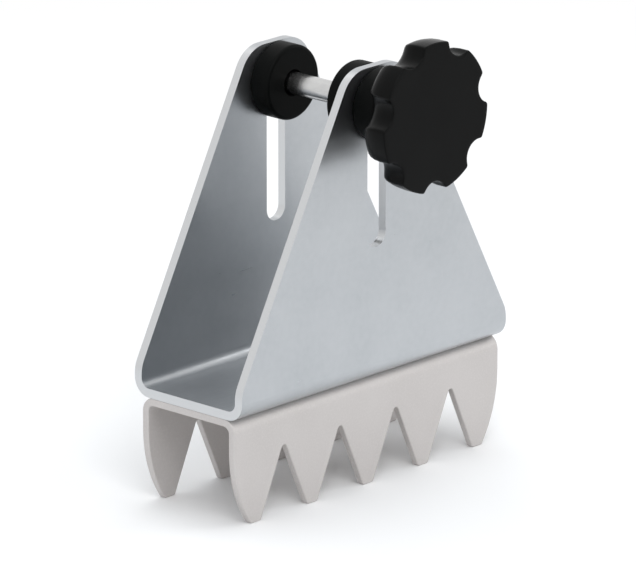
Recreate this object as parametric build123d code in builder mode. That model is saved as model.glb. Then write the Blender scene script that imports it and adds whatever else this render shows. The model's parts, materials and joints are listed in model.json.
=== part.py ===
"""Ladder-foot ground spike clamp.

A tapered U bracket of folded sheet carries a toothed spike comb under its floor. A carriage bolt
passes through a vertical slot in each wall, two rubber bumpers on it grip a ladder stile, and a
lobed hand knob on its threaded end locks the bolt at the height that is set.

Frame: X along the comb, Y across the walls with the knob towards -Y, +Z up. The origin is the
centre of the bracket's floor, on its top face. Millimetres.
"""
from build123d import *
import os

os.makedirs("parts", exist_ok=True)

# --- Bracket: one folded sheet ---------------------------------------------------------------
bracket_length = 125.0        # along the comb
bracket_sheet = 3.0
inner_width = 40.6            # between the walls
bracket_bend = 3.0            # inner radius of the two folds
wall_height = 101.1           # above the floor's top face
wall_end_height = 6.5         # where the upright ends of a wall turn into its slanted edges
wall_top_half = 12.0          # half the flat top, to the sharp corner
wall_top_corner = 11.0        # rounding of the corners beside the flat top
wall_end_corner = 10.0        # rounding where upright end meets slanted edge
slot_width = 8.6
slot_bottom_height = 45.8     # centre of the round lower end
slot_top_margin = 9.3         # wall top down to the centre of the round upper end

# --- Spike comb: a second folded sheet, spot-welded under the floor --------------------------
comb_sheet = 2.5
comb_width = 40.0
comb_bend = 2.2               # inner radius of its folds
comb_depth = 35.5             # plate top down to the tooth tips
tooth_count = 5
tooth_pitch = 26.3
tooth_tip_width = 4.4
tooth_valley_depth = 11.2     # plate top down to the root between two teeth
valley_rounding = 1.2
tip_rounding = 1.0

# --- Carriage bolt ---------------------------------------------------------------------------
thread_diameter = 8.0
thread_pitch = 1.25
shank_diameter = 7.1          # rolled-thread blank, thinner than the thread
neck_side = 8.0               # square neck that rides in the slot
neck_corner = 0.6
head_diameter = 20.8
head_height = 4.6
head_rim = 0.9
bolt_height = 88.7            # axis above the floor, with the bolt at the top of its slots
bolt_end_chamfer = 0.8
shank_lead = 1.0              # the thread starts this far before the near bumper

# --- Rubber bumpers and outer washer ---------------------------------------------------------
bumper_diameter = 24.6
bumper_thickness = 7.7
bumper_edge = 1.2
bumper_bore_clearance = 0.35  # radial, over the thread
washer_diameter = 24.2
washer_thickness = 9.9
washer_edge = 1.5

# --- Star knob and its threaded insert -------------------------------------------------------
knob_diameter = 48.8
knob_lobes = 7
knob_front_reach = 25.2       # near wall's outer face to the knob's closed front
lobe_thickness = 10.5
recess_radius = 5.0           # finger recess between two lobes
recess_depth = 4.0            # how far a recess bites into the knob's diameter
recess_angle = -92.0          # direction of the lowest recess
lobe_corner = 1.2             # outline rounding where a recess meets a lobe
front_edge = 0.7
back_edge = 1.6
skirt_wall = 2.4              # lobed wall round the hollow underside
hollow_corner = 0.8
front_skin = 2.5
hub_diameter = 18.8
hub_edge = 0.8
ring_diameter = 26.2          # ring standing in the hollow, round the hub
ring_wall = 2.2
ring_recess = 4.3             # knob's back rim in to the ring's face
insert_diameter = 11.0        # across the corners of its hexagon
insert_length = 12.0
insert_flats = 6
thread_clearance = 0.04       # radial, between the bolt's thread and the insert

# --- Values that follow ----------------------------------------------------------------------
half_length = bracket_length / 2
wall_inner = inner_width / 2
wall_outer = wall_inner + bracket_sheet
floor_underside = -bracket_sheet
slot_top_height = wall_height - slot_top_margin
through = 2 * wall_outer + 2 * bracket_sheet

comb_top = floor_underside
comb_outer = comb_width / 2
comb_inner = comb_outer - comb_sheet
comb_tips = comb_top - comb_depth
tooth_valley = comb_top - tooth_valley_depth

bore_radius = thread_diameter / 2 + bumper_bore_clearance
washer_face = wall_outer + washer_thickness
knob_front = wall_outer + knob_front_reach
lobe_back = knob_front - lobe_thickness
insert_deep_end = washer_face + insert_length
bolt_end = insert_deep_end
hollow_floor = knob_front - front_skin
ring_face = lobe_back + ring_recess


def across(distance):
    """Upright sketch plane facing the knob side, at this distance towards -Y from the middle."""
    return Plane(origin=(0, -distance, bolt_height), x_dir=(1, 0, 0), z_dir=(0, -1, 0))


# --- Bracket ---------------------------------------------------------------------------------
with BuildPart() as bracket:
    # The folded channel: floor and two upright walls, run along X.
    with BuildSketch(Plane.YZ.offset(-half_length)):
        with BuildLine():
            fold = FilletPolyline(
                (-wall_inner, wall_height),
                (-wall_inner, 0),
                (wall_inner, 0),
                (wall_inner, wall_height),
                radius=bracket_bend,
            )
            offset(fold, amount=bracket_sheet, side=Side.RIGHT)
        make_face()
    extrude(amount=bracket_length)
    # The tapered outline of both walls.
    with BuildSketch(Plane.XZ.offset(-through / 2)) as outline:
        with BuildLine():
            Polyline(
                (-half_length, floor_underside - 1),
                (half_length, floor_underside - 1),
                (half_length, wall_end_height),
                (wall_top_half, wall_height),
                (-wall_top_half, wall_height),
                (-half_length, wall_end_height),
                close=True,
            )
        make_face()
        upper = outline.vertices().filter_by_position(Axis.Y, wall_end_height - 1, wall_height + 1)
        fillet(upper.group_by(Axis.Y)[-1], radius=wall_top_corner)
        ends = outline.vertices().filter_by_position(Axis.Y, wall_end_height - 0.1, wall_end_height + 0.1)
        fillet(ends, radius=wall_end_corner)
    extrude(amount=through, mode=Mode.INTERSECT)
    # One upright slot through each wall.
    with BuildSketch(Plane.XZ.offset(-through / 2)):
        with Locations((0, (slot_bottom_height + slot_top_height) / 2)):
            SlotCenterToCenter(slot_top_height - slot_bottom_height, slot_width, rotation=90)
    extrude(amount=through, mode=Mode.SUBTRACT)

# --- Spike comb ------------------------------------------------------------------------------
tip_half = tooth_tip_width / 2
outer_tip = (tooth_count - 1) / 2 * tooth_pitch + tip_half

with BuildPart() as spike_comb:
    with BuildSketch(Plane.YZ.offset(-half_length)):
        with BuildLine():
            comb_fold = FilletPolyline(
                (-comb_outer, comb_tips),
                (-comb_outer, comb_top),
                (comb_outer, comb_top),
                (comb_outer, comb_tips),
                radius=comb_bend + comb_sheet,
            )
            offset(comb_fold, amount=comb_sheet, side=Side.RIGHT)
        make_face()
    extrude(amount=bracket_length)
    # The V between each two teeth, cut through both flanges.
    with BuildSketch(Plane.XZ.offset(-through / 2)) as valleys:
        for index in range(tooth_count - 1):
            middle = (index - (tooth_count - 2) / 2) * tooth_pitch
            foot = tooth_pitch / 2 - tip_half
            with BuildLine():
                Polyline(
                    (middle - foot, comb_tips),
                    (middle, tooth_valley),
                    (middle + foot, comb_tips),
                    close=True,
                )
            make_face()
        fillet(valleys.vertices().group_by(Axis.Y)[-1], radius=valley_rounding)
    extrude(amount=through, mode=Mode.SUBTRACT)
    # The two end teeth curve in from the upright ends down to their tips.
    for side in (-1, 1):
        with BuildSketch(Plane.XZ.offset(-through / 2)):
            with BuildLine():
                flank_top = (side * half_length, tooth_valley)
                flank_tip = (side * outer_tip, comb_tips)
                TangentArc(flank_top, flank_tip, tangent=(0, -1))
                Polyline(flank_tip, (side * half_length, comb_tips), flank_top)
            make_face()
        extrude(amount=through, mode=Mode.SUBTRACT)
    tips = spike_comb.edges().filter_by(Axis.Y).group_by(Axis.Z)[0]
    fillet(tips, radius=tip_rounding)

# --- Carriage bolt ---------------------------------------------------------------------------
head_dome = (head_diameter**2 / 4 + (head_height - head_rim) ** 2) / (2 * (head_height - head_rim))
thread_start = wall_inner - bumper_thickness - shank_lead

with BuildPart() as carriage_bolt:
    # Head: a short rim under a shallow dome, turned about the bolt's axis.
    with BuildSketch(Plane.XY.offset(bolt_height)):
        with BuildLine():
            crown = (0, wall_outer + head_height)
            rim = (head_diameter / 2, wall_outer + head_rim)
            RadiusArc(crown, rim, head_dome)
            Polyline(rim, (head_diameter / 2, wall_outer), (0, wall_outer), crown)
        make_face()
    revolve(axis=Axis((0, 0, bolt_height), (0, 1, 0)))
    # Square neck, as deep as the wall.
    with BuildSketch(across(-wall_outer)):
        RectangleRounded(neck_side, neck_side, neck_corner)
    extrude(amount=bracket_sheet)
    # Plain shank.
    with BuildSketch(across(-wall_inner)):
        Circle(shank_diameter / 2)
    extrude(amount=wall_inner + bolt_end)
    # Threaded end, drawn at the thread's outer diameter.
    with BuildSketch(across(thread_start)):
        Circle(thread_diameter / 2)
    extrude(amount=bolt_end - thread_start)
    end_edges = carriage_bolt.edges().filter_by(GeomType.CIRCLE).sort_by(Axis.Y)
    chamfer(end_edges[0], length=bolt_end_chamfer)


def rubber_disc(name, face, thickness, diameter, edge):
    """Bored rubber disc from the plane at `face`, growing towards the knob side."""
    with BuildPart() as disc:
        with BuildSketch(across(face)):
            Circle(diameter / 2)
            Circle(bore_radius, mode=Mode.SUBTRACT)
        extrude(amount=thickness)
        rims = disc.edges().filter_by(GeomType.CIRCLE).sort_by(SortBy.RADIUS)
        fillet(rims[-2:], radius=edge)
    disc.part.label = name
    return disc.part


# --- Rubber bumpers and washer ---------------------------------------------------------------
far_bumper = rubber_disc("far_bumper", -wall_inner, bumper_thickness, bumper_diameter, bumper_edge)
near_bumper = rubber_disc(
    "near_bumper", wall_inner - bumper_thickness, bumper_thickness, bumper_diameter, bumper_edge
)
outer_washer = rubber_disc("outer_washer", wall_outer, washer_thickness, washer_diameter, washer_edge)

# --- Star knob -------------------------------------------------------------------------------
knob_radius = knob_diameter / 2
recess_centre = knob_radius - recess_depth + recess_radius

with BuildPart() as star_knob:
    # Lobed body with a closed, flat front.
    with BuildSketch(across(lobe_back)) as star:
        Circle(knob_radius)
        with PolarLocations(recess_centre, knob_lobes, start_angle=recess_angle):
            Circle(recess_radius, mode=Mode.SUBTRACT)
        fillet(star.vertices(), radius=lobe_corner)
    extrude(amount=lobe_thickness)
    fillet(star_knob.faces().sort_by(Axis.Y)[0].edges(), radius=front_edge)
    fillet(star_knob.faces().sort_by(Axis.Y)[-1].edges(), radius=back_edge)
    # Hollow underside: the skirt keeps one wall thickness all round the lobes.
    with BuildSketch(across(lobe_back)) as hollow:
        Circle(knob_radius - skirt_wall)
        with PolarLocations(recess_centre, knob_lobes, start_angle=recess_angle):
            Circle(recess_radius + skirt_wall, mode=Mode.SUBTRACT)
        fillet(hollow.vertices(), radius=hollow_corner)
    extrude(amount=hollow_floor - lobe_back, mode=Mode.SUBTRACT)
    # Ring standing in the hollow.
    with BuildSketch(across(ring_face)):
        Circle(ring_diameter / 2)
        Circle(ring_diameter / 2 - ring_wall, mode=Mode.SUBTRACT)
    extrude(amount=hollow_floor - ring_face)
    # Hub, from the knob's front down to the washer.
    with BuildSketch(across(washer_face)):
        Circle(hub_diameter / 2)
    extrude(amount=hollow_floor - washer_face)
    fillet(star_knob.faces().sort_by(Axis.Y)[-1].edges(), radius=hub_edge)
    # Pocket that holds the threaded insert.
    with BuildSketch(across(washer_face)):
        RegularPolygon(insert_diameter / 2, insert_flats)
    extrude(amount=insert_length, mode=Mode.SUBTRACT)

with BuildPart() as knob_insert:
    with BuildSketch(across(washer_face)):
        RegularPolygon(insert_diameter / 2, insert_flats)
        Circle(thread_diameter / 2 + thread_clearance, mode=Mode.SUBTRACT)
    extrude(amount=insert_length)

# --- Write the pieces ------------------------------------------------------------------------
pieces = {
    "bracket": bracket.part,
    "spike_comb": spike_comb.part,
    "carriage_bolt": carriage_bolt.part,
    "far_bumper": far_bumper,
    "near_bumper": near_bumper,
    "outer_washer": outer_washer,
    "star_knob": star_knob.part,
    "knob_insert": knob_insert.part,
}
for name, piece in pieces.items():
    piece.label = name
    export_step(piece, f"parts/{name}.step")
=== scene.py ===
"""Looks of the ladder-foot ground spike clamp: finishes, studio and camera, in metres."""
import json
from math import acos, asin, cos, hypot, pi, radians, sin

import bmesh
import bpy
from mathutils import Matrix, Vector


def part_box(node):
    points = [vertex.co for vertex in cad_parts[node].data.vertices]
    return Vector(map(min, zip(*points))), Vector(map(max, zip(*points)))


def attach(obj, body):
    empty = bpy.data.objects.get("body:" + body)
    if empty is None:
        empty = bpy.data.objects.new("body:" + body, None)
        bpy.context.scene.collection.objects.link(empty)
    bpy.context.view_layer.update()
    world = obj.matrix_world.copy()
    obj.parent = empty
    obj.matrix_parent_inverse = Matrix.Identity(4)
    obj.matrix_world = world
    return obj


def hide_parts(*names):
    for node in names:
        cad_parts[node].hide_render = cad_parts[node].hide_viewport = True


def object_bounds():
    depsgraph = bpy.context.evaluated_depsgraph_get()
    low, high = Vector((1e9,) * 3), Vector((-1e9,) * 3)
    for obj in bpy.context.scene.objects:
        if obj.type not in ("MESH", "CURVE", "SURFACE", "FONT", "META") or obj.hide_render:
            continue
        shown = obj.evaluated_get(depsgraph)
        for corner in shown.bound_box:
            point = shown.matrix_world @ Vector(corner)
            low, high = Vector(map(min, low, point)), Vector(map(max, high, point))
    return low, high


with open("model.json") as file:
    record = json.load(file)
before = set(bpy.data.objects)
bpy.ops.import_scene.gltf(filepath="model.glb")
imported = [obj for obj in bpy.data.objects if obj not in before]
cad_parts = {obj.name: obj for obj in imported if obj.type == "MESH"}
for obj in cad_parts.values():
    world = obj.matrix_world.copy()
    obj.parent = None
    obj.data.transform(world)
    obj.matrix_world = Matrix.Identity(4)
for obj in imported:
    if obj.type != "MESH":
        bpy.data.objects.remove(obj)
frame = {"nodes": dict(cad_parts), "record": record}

CAD_BOX = [list(corner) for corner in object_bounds()]

# --- View and studio -------------------------------------------------------------------------
VIEW_AZIMUTH = radians(47.5)      # camera turned from -Y towards -X
VIEW_ELEVATION = radians(16.7)
VIEW_DISTANCE = 2.477
LENS = 440.0                      # millimetres on a 36 mm wide sensor
AIM_ASIDE = -0.0090               # middle of the seen outline, from the box's middle
AIM_RISE = -0.0095
FLOOR_HALF = 4.0
FLOOR_FADE = (0.22, 0.60)         # distances between which the floor turns white
FLOOR_WHITE = (0.94, 0.94, 0.94, 1)
SKY_WHITE = (1.0, 1.0, 1.0, 1)
SKY_LIGHT = (0.90, 0.93, 0.96, 1)
SKY_STRENGTH = 0.75
SOFTBOXES = (                     # name, place, size, power in watts
    ("key", (-1.2, -1.6, 2.2), 1.4, 26),
    ("top", (0.3, 0.4, 2.4), 1.6, 16),
    ("fill", (1.8, -1.2, 1.0), 1.2, 8),
)

# --- Finishes --------------------------------------------------------------------------------
EDGE_BREAK = 0.00032              # broken edge on the comb
EDGE_ANGLE = radians(40)          # edges sharper than this are broken
FLAT_AREA = 0.00002               # faces larger than this get a margin, so that they shade flat
FLAT_MARGIN = 0.00020
SLIVER = 0.00002                  # triangles thinner than this are taken out first
WELD = 0.000002                   # corners nearer than this are one corner
LEVEL_ANGLE = radians(0.5)        # faces that bend less than this are one face
THREAD_PITCH = 0.00125
THREAD_START = -0.0115            # the thread runs from here towards -Y
THREAD_RUNOUT = 0.0005
BOLT_LOW, BOLT_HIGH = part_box("carriage_bolt")
BOLT_AXIS_HEIGHT = (BOLT_LOW[2] + BOLT_HIGH[2]) / 2

# --- Star knob, drawn from its front -----------------------------------------------------------
KNOB_RADIUS = 0.0244
KNOB_LOBES = 7
KNOB_TURN = radians(-90.5)
KNOB_RECESS = 0.0056
KNOB_RECESS_DEPTH = 0.0037
KNOB_SKIRT = (                    # inset and depth of the lobed wall's section
    (0.00035, 0.0),
    (0.00010, 0.00010),
    (0.0, 0.00035),
    (0.0, 0.0040),
    (0.0002, 0.0064),
    (0.0006, 0.0080),
    (0.0012, 0.0092),
    (0.0019, 0.0100),
    (0.0026, 0.0104),
    (0.0031, 0.0105),
    (0.0035, 0.0102),
    (0.0037, 0.0095),
    (0.0038, 0.0060),
    (0.0039, 0.0025),
)
KNOB_RING = 0.0131                # ring and hub under the knob
KNOB_RING_WALL = 0.0022
KNOB_RING_DEPTH = 0.0062
KNOB_HUB = 0.0094
KNOB_BORE = 0.0056
KNOB_BORE_FLOOR = 0.0033
KNOB_EASE = 0.0003                # eased corners of the ring
KNOB_HUB_EASE = 0.0006
KNOB_FRONT_SHARES = (0.25, 0.5, 0.75, 0.93)
RECESS_STEPS = 22
LOBE_STEPS = 24
CORNER_ROUNDS = 2


def seen_ray(tree):
    """1 for rays that show the background: from the camera, off gloss or through glass."""
    path = tree.nodes.new("ShaderNodeLightPath")
    seen = path.outputs["Is Camera Ray"]
    for kind in ("Is Glossy Ray", "Is Transmission Ray"):
        either = tree.nodes.new("ShaderNodeMath")
        either.operation = "MAXIMUM"
        tree.links.new(seen, either.inputs[0])
        tree.links.new(path.outputs[kind], either.inputs[1])
        seen = either.outputs["Value"]
    return seen


class Finish:
    """A node material with short calls for the nodes that all the finishes share."""

    def __init__(self, name):
        self.material = bpy.data.materials.new(name)
        self.material.use_nodes = True
        self.tree = self.material.node_tree
        self.shader = self.tree.nodes["Principled BSDF"]
        self.place = self.node("ShaderNodeTexCoord").outputs["Object"]
        self.normal = self.node("ShaderNodeTexCoord").outputs["Normal"]

    def node(self, kind, **settings):
        made = self.tree.nodes.new(kind)
        for key, value in settings.items():
            setattr(made, key, value)
        return made

    def link(self, output, target):
        self.tree.links.new(output, target)

    def set(self, **values):
        for key, value in values.items():
            self.shader.inputs[key.replace("_", " ")].default_value = value

    def stretched(self, scale):
        mapping = self.node("ShaderNodeMapping")
        mapping.inputs["Scale"].default_value = scale
        self.link(self.place, mapping.inputs["Vector"])
        return mapping.outputs["Vector"]

    def noise(self, scale, detail=3.0, rough=0.55, stretch=(1, 1, 1)):
        noise = self.node("ShaderNodeTexNoise")
        noise.inputs["Scale"].default_value = scale
        noise.inputs["Detail"].default_value = detail
        noise.inputs["Roughness"].default_value = rough
        self.link(self.stretched(stretch), noise.inputs["Vector"])
        return noise.outputs["Fac"]

    def ramp(self, value, low, high, start=0.3, end=0.7):
        ramp = self.node("ShaderNodeValToRGB")
        ramp.color_ramp.elements[0].position = start
        ramp.color_ramp.elements[1].position = end
        ramp.color_ramp.elements[0].color = (*low, 1)
        ramp.color_ramp.elements[1].color = (*high, 1)
        self.link(value, ramp.inputs["Fac"])
        return ramp.outputs["Color"]

    def span(self, value, low, high, start=0.3, end=0.7):
        span = self.node("ShaderNodeMapRange")
        span.inputs["From Min"].default_value = start
        span.inputs["From Max"].default_value = end
        span.inputs["To Min"].default_value = low
        span.inputs["To Max"].default_value = high
        self.link(value, span.inputs["Value"])
        return span.outputs["Result"]

    def math(self, operation, first, second=None):
        made = self.node("ShaderNodeMath", operation=operation)
        for index, value in enumerate((first, second)):
            if value is None:
                continue
            if isinstance(value, (int, float)):
                made.inputs[index].default_value = value
            else:
                self.link(value, made.inputs[index])
        return made.outputs["Value"]

    def mix(self, factor, first, second):
        mix = self.node("ShaderNodeMix", data_type="RGBA")
        self.link(factor, mix.inputs["Factor"])
        for socket, value in ((mix.inputs["A"], first), (mix.inputs["B"], second)):
            if isinstance(value, tuple):
                socket.default_value = (*value, 1)
            else:
                self.link(value, socket)
        return mix.outputs["Result"]

    def bump(self, height, depth, strength=1.0, under=None):
        bump = self.node("ShaderNodeBump")
        bump.inputs["Strength"].default_value = strength
        bump.inputs["Distance"].default_value = depth
        self.link(height, bump.inputs["Height"])
        if under is not None:
            self.link(under, bump.inputs["Normal"])
        return bump.outputs["Normal"]

    def edge_highlight_mask(self):
        """1 on the sheet's cut edges, which look along X or slant up from it, 0 on its own faces; it
        marks where a painted highlight goes.
        """
        parts = self.node("ShaderNodeSeparateXYZ")
        self.link(self.normal, parts.inputs["Vector"])
        sideways = self.math("ABSOLUTE", parts.outputs["X"])
        return self.span(sideways, 0.0, 1.0, 0.25, 0.5)


def zinc_sheet():
    """Bright zinc plating on rolled sheet: cool grey, faint clouds, a fine rolled grain and a painted
    highlight on the cut edges.
    """
    finish = Finish("bracket_zinc")
    finish.set(Metallic=1.0, IOR=1.45)
    clouds = finish.noise(38, detail=4)
    base = finish.ramp(clouds, (0.448, 0.468, 0.486), (0.496, 0.514, 0.532))
    spangle = finish.noise(420, detail=2)
    base = finish.mix(finish.span(spangle, 0.0, 0.22), base, (0.56, 0.57, 0.59))
    # painted highlight: the cut edges get a lighter colour in place of the bright lines that light
    # makes along them
    base = finish.mix(finish.edge_highlight_mask(), base, (0.60, 0.61, 0.62))
    finish.link(base, finish.shader.inputs["Base Color"])
    grain = finish.noise(900, detail=3, stretch=(0.07, 1, 1))
    rough = finish.math("ADD", finish.span(clouds, 0.29, 0.35), finish.span(grain, -0.03, 0.03))
    finish.link(rough, finish.shader.inputs["Roughness"])
    fine = finish.bump(grain, 0.000006, 0.5)
    finish.link(finish.bump(spangle, 0.000010, 0.4, fine), finish.shader.inputs["Normal"])
    return finish.material


def comb_steel():
    """Pale warm-grey sheet with a matte blasted skin and lighter specks."""
    finish = Finish("comb_steel")
    finish.set(Metallic=0.35, IOR=1.45)
    clouds = finish.noise(30, detail=5)
    base = finish.ramp(clouds, (0.525, 0.497, 0.483), (0.580, 0.552, 0.538))
    specks = finish.noise(1500, detail=2)
    base = finish.mix(finish.span(specks, 0.0, 0.35, 0.45, 0.7), base, (0.63, 0.60, 0.585))
    finish.link(base, finish.shader.inputs["Base Color"])
    finish.link(finish.span(clouds, 0.50, 0.58), finish.shader.inputs["Roughness"])
    finish.link(finish.bump(specks, 0.00002, 0.5), finish.shader.inputs["Normal"])
    return finish.material


def bolt_steel():
    """Bright plated steel with fine turning marks, and a rolled thread on the threaded end."""
    finish = Finish("bolt_steel")
    finish.set(Metallic=1.0, IOR=1.45)
    clouds = finish.noise(120, detail=3)
    base = finish.ramp(clouds, (0.54, 0.54, 0.54), (0.63, 0.63, 0.625))
    finish.link(base, finish.shader.inputs["Base Color"])
    rings = finish.noise(900, detail=3, stretch=(0.05, 1, 0.05))
    finish.link(finish.span(rings, 0.21, 0.26), finish.shader.inputs["Roughness"])
    parts = finish.node("ShaderNodeSeparateXYZ")
    finish.link(finish.place, parts.inputs["Vector"])
    rise = finish.math("SUBTRACT", parts.outputs["Z"], BOLT_AXIS_HEIGHT)
    turn = finish.math("DIVIDE", finish.math("ARCTAN2", rise, parts.outputs["X"]), 2 * pi)
    along = finish.math("DIVIDE", parts.outputs["Y"], THREAD_PITCH)
    crest = finish.math("PINGPONG", finish.math("SUBTRACT", along, turn), 0.5)
    threaded = finish.span(parts.outputs["Y"], 1.0, 0.0, THREAD_START - THREAD_RUNOUT, THREAD_START)
    height = finish.math("MULTIPLY", crest, threaded)
    thread = finish.bump(height, 0.0013, 1.0)
    finish.link(finish.bump(rings, 0.000004, 0.2, thread), finish.shader.inputs["Normal"])
    return finish.material


def black_rubber():
    """Moulded black rubber: dull, with a slight bloom and a fine pebbled skin."""
    finish = Finish("black_rubber")
    finish.set(Specular_IOR_Level=0.05)
    clouds = finish.noise(90, detail=4)
    base = finish.ramp(clouds, (0.0014, 0.0017, 0.0016), (0.0026, 0.0030, 0.0029))
    finish.link(base, finish.shader.inputs["Base Color"])
    finish.link(finish.span(clouds, 0.42, 0.55), finish.shader.inputs["Roughness"])
    skin = finish.noise(1400, detail=2)
    finish.link(finish.bump(skin, 0.00002, 0.5), finish.shader.inputs["Normal"])
    return finish.material


def black_plastic():
    """Moulded black plastic with a fine spark-eroded grain and a soft sheen."""
    finish = Finish("black_plastic")
    finish.set(Specular_IOR_Level=0.08)
    clouds = finish.noise(60, detail=4)
    base = finish.ramp(clouds, (0.0009, 0.0010, 0.0010), (0.0016, 0.0018, 0.0017))
    finish.link(base, finish.shader.inputs["Base Color"])
    finish.link(finish.span(clouds, 0.20, 0.27), finish.shader.inputs["Roughness"])
    grain = finish.noise(2000, detail=2)
    finish.link(finish.bump(grain, 0.000015, 0.45), finish.shader.inputs["Normal"])
    return finish.material


def insert_brass():
    """Plain turned brass."""
    finish = Finish("insert_brass")
    finish.set(Metallic=1.0)
    clouds = finish.noise(200, detail=3)
    base = finish.ramp(clouds, (0.66, 0.48, 0.22), (0.76, 0.58, 0.30))
    finish.link(base, finish.shader.inputs["Base Color"])
    rings = finish.noise(1200, detail=2, stretch=(0.05, 1, 0.05))
    finish.link(finish.span(rings, 0.25, 0.38), finish.shader.inputs["Roughness"])
    finish.link(finish.bump(rings, 0.00001, 0.4), finish.shader.inputs["Normal"])
    return finish.material


def floor_finish():
    """Pale matte studio floor, which runs out to white away from the object."""
    finish = Finish("studio_floor")
    finish.set(Base_Color=FLOOR_WHITE, Roughness=0.9)
    reach = finish.node("ShaderNodeVectorMath", operation="LENGTH")
    finish.link(finish.place, reach.inputs[0])
    faded = finish.span(reach.outputs["Value"], 0.0, 1.0, FLOOR_FADE[0], FLOOR_FADE[1])
    share = finish.math("MULTIPLY", faded, seen_ray(finish.tree))
    glow = finish.node("ShaderNodeEmission")
    blend = finish.node("ShaderNodeMixShader")
    finish.link(share, blend.inputs["Fac"])
    finish.link(finish.shader.outputs["BSDF"], blend.inputs[1])
    finish.link(glow.outputs["Emission"], blend.inputs[2])
    finish.link(blend.outputs["Shader"], finish.tree.nodes["Material Output"].inputs["Surface"])
    return finish.material


FINISHES = {
    "bracket": zinc_sheet,
    "spike_comb": comb_steel,
    "carriage_bolt": bolt_steel,
    "far_bumper": black_rubber,
    "near_bumper": black_rubber,
    "outer_washer": black_rubber,
    "star_knob": black_plastic,
    "knob_insert": insert_brass,
}
BODIES = frame["record"]["behaviour"]["bodies"]
BODY_OF = {node: body for body, nodes in BODIES.items() for node in nodes}


def dress(node, material):
    """Gives a CAD piece its finish."""
    mesh = frame["nodes"][node].data
    mesh.materials.clear()
    mesh.materials.append(material)


def soften(node, material):
    """Stands a copy with broken edges in for a sheared CAD piece."""
    mesh = frame["nodes"][node].data.copy()
    mesh.name = node + "_finished"
    edit = bmesh.new()
    edit.from_mesh(mesh)
    bmesh.ops.remove_doubles(edit, verts=edit.verts, dist=WELD)
    bmesh.ops.dissolve_degenerate(edit, dist=SLIVER, edges=edit.edges)
    bmesh.ops.dissolve_limit(edit, angle_limit=LEVEL_ANGLE, verts=edit.verts, edges=edit.edges)
    sharp = [edge for edge in edit.edges if edge.calc_face_angle(0) > EDGE_ANGLE]
    bmesh.ops.bevel(
        edit, geom=sharp, offset=EDGE_BREAK, segments=2, profile=0.5, affect="EDGES", clamp_overlap=True
    )
    flats = [face for face in edit.faces if face.calc_area() > FLAT_AREA]
    bmesh.ops.inset_individual(edit, faces=flats, thickness=FLAT_MARGIN)
    for face in edit.faces:
        face.smooth = True
    for face in flats:
        face.smooth = False
    bmesh.ops.triangulate(edit, faces=edit.faces)
    edit.to_mesh(mesh)
    edit.free()
    mesh.materials.clear()
    mesh.materials.append(material)
    piece = bpy.data.objects.new(node + "_finished", mesh)
    bpy.context.collection.objects.link(piece)
    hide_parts(node)
    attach(piece, BODY_OF[node])
    return piece


def lobed_loop(inset):
    """Points round the knob's outline, drawn `inset` inside it: recess arc, lobe arc, and so on."""
    outer = KNOB_RADIUS - inset
    recess = KNOB_RECESS + inset
    centre = KNOB_RADIUS - KNOB_RECESS_DEPTH + KNOB_RECESS
    meet = acos((outer**2 + centre**2 - recess**2) / (2 * outer * centre))
    swing = asin(outer * sin(meet) / recess)
    step = 2 * pi / KNOB_LOBES
    points = []
    for lobe in range(KNOB_LOBES):
        middle = KNOB_TURN + lobe * step
        for index in range(RECESS_STEPS):
            turn = swing * (2 * index / RECESS_STEPS - 1)
            reach = centre - recess * cos(turn)
            aside = recess * sin(turn)
            x = reach * cos(middle) - aside * sin(middle)
            z = reach * sin(middle) + aside * cos(middle)
            points.append((x, z))
        for index in range(LOBE_STEPS):
            angle = middle + meet + (step - 2 * meet) * index / LOBE_STEPS
            points.append((outer * cos(angle), outer * sin(angle)))
    for _ in range(CORNER_ROUNDS):
        before = points[-1:] + points[:-1]
        after = points[1:] + points[:1]
        points = [
            ((a[0] + 2 * b[0] + c[0]) / 4, (a[1] + 2 * b[1] + c[1]) / 4)
            for a, b, c in zip(before, points, after)
        ]
    return points


def round_loop(radius, like):
    """A circle whose points stand at the same angles as those of another loop."""
    return [(radius * x / hypot(x, z), radius * z / hypot(x, z)) for x, z in like]


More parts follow.
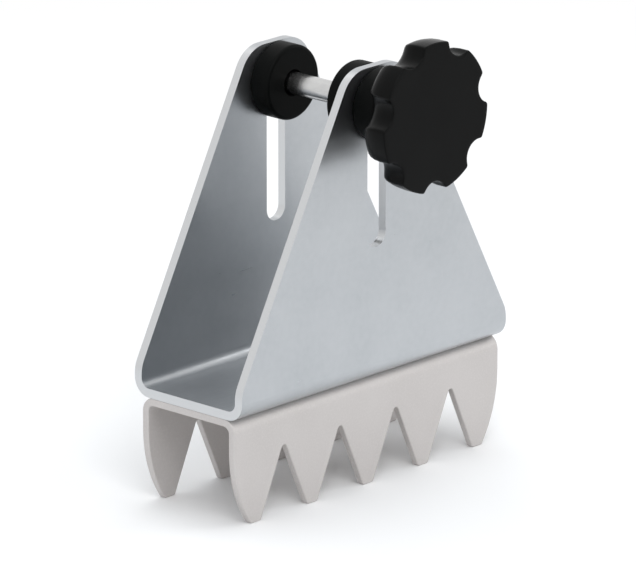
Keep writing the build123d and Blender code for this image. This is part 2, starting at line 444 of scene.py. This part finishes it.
def star_knob(material):
    """Moulded knob: crisp closed front, lobes that round off towards the back, hollow underside."""
    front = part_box("star_knob")[0][1]
    hub_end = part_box("star_knob")[1][1] - front
    outline = lobed_loop(0)
    rim = lobed_loop(KNOB_SKIRT[0][0])
    loops = []
    for share in KNOB_FRONT_SHARES:
        loops.append(([(x * share, z * share) for x, z in rim], 0.0))
    for inset, depth in KNOB_SKIRT:
        loops.append((lobed_loop(inset), depth))
    floor = KNOB_SKIRT[-1][1]
    for radius, depth in (
        (KNOB_RING, floor),
        (KNOB_RING, KNOB_RING_DEPTH - KNOB_EASE),
        (KNOB_RING - KNOB_EASE, KNOB_RING_DEPTH),
        (KNOB_RING - KNOB_RING_WALL + KNOB_EASE, KNOB_RING_DEPTH),
        (KNOB_RING - KNOB_RING_WALL, KNOB_RING_DEPTH - KNOB_EASE),
        (KNOB_RING - KNOB_RING_WALL, floor),
        (KNOB_HUB, floor),
        (KNOB_HUB, hub_end - KNOB_HUB_EASE),
        (KNOB_HUB - KNOB_HUB_EASE, hub_end),
        (KNOB_BORE, hub_end),
        (KNOB_BORE, KNOB_BORE_FLOOR),
    ):
        loops.append((round_loop(radius, outline), depth))

    edit = bmesh.new()
    rows = []
    for loop, depth in loops:
        rows.append([edit.verts.new((x, front + depth, BOLT_AXIS_HEIGHT + z)) for x, z in loop])
    count = len(outline)
    for row, following in zip(rows, rows[1:]):
        for index in range(count):
            after = (index + 1) % count
            edit.faces.new((row[index], row[after], following[after], following[index]))
    for row, depth in ((rows[0], loops[0][1]), (rows[-1], loops[-1][1])):
        hub = edit.verts.new((0, front + depth, BOLT_AXIS_HEIGHT))
        for index in range(count):
            edit.faces.new((hub, row[index], row[(index + 1) % count]))
    bmesh.ops.recalc_face_normals(edit, faces=edit.faces)
    mesh = bpy.data.meshes.new("star_knob_finished")
    edit.to_mesh(mesh)
    edit.free()
    mesh.materials.append(material)
    for polygon in mesh.polygons:
        polygon.use_smooth = True
    piece = bpy.data.objects.new("star_knob_finished", mesh)
    bpy.context.collection.objects.link(piece)
    weighted = piece.modifiers.new("flat_faces", "WEIGHTED_NORMAL")
    weighted.keep_sharp = True
    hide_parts("star_knob")
    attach(piece, BODY_OF["star_knob"])


def add_floor(height):
    """Pale floor under the tooth tips."""
    bpy.ops.mesh.primitive_grid_add(x_subdivisions=4, y_subdivisions=4, size=2 * FLOOR_HALF)
    floor = bpy.context.object
    floor.name = "studio_floor"
    floor.location = (0, 0, height)
    floor.data.materials.append(floor_finish())


def add_sky():
    """White to the camera and in gloss, soft grey to the diffuse lighting."""
    world = bpy.data.worlds.new("studio_sky")
    bpy.context.scene.world = world
    world.use_nodes = True
    nodes = world.node_tree.nodes
    links = world.node_tree.links
    light = nodes["Background"]
    light.inputs["Color"].default_value = SKY_LIGHT
    light.inputs["Strength"].default_value = SKY_STRENGTH
    seen = nodes.new("ShaderNodeBackground")
    seen.inputs["Color"].default_value = SKY_WHITE
    seen.inputs["Strength"].default_value = 1.0
    mix = nodes.new("ShaderNodeMixShader")
    links.new(seen_ray(world.node_tree), mix.inputs["Fac"])
    links.new(light.outputs["Background"], mix.inputs[1])
    links.new(seen.outputs["Background"], mix.inputs[2])
    links.new(mix.outputs["Shader"], nodes["World Output"].inputs["Surface"])


def add_softbox(name, place, target, size, power):
    """Square area light aimed at the object."""
    lamp = bpy.data.lights.new(name, "AREA")
    lamp.shape = "SQUARE"
    lamp.size = size
    lamp.energy = power
    holder = bpy.data.objects.new(name, lamp)
    holder.location = place
    holder.rotation_euler = (target - Vector(place)).to_track_quat("-Z", "Y").to_euler()
    bpy.context.collection.objects.link(holder)


def add_camera(target):
    """Long lens at the height and turn that show both walls and the knob's front."""
    data = bpy.data.cameras.new("view")
    data.lens = LENS
    data.clip_end = 50
    camera = bpy.data.objects.new("view", data)
    level = cos(VIEW_ELEVATION)
    away = Vector((-sin(VIEW_AZIMUTH) * level, -cos(VIEW_AZIMUTH) * level, sin(VIEW_ELEVATION)))
    camera.location = target + away * VIEW_DISTANCE
    aside = Vector((cos(VIEW_AZIMUTH), -sin(VIEW_AZIMUTH), 0))
    aim = target + aside * AIM_ASIDE + aside.cross(-away) * AIM_RISE
    camera.rotation_euler = (aim - camera.location).to_track_quat("-Z", "Y").to_euler()
    bpy.context.collection.objects.link(camera)
    bpy.context.scene.camera = camera


made = {}
for node, finish in FINISHES.items():
    if finish not in made:
        made[finish] = finish()
    dress(node, made[finish])
soften("spike_comb", made[comb_steel])
star_knob(made[black_plastic])

low, high = (Vector(corner) for corner in CAD_BOX)
middle = (low + high) / 2
add_floor(low.z)
add_sky()
for name, place, size, power in SOFTBOXES:
    add_softbox(name, place, middle, size, power)
add_camera(middle)
bpy.context.scene.view_settings.view_transform = "Standard"
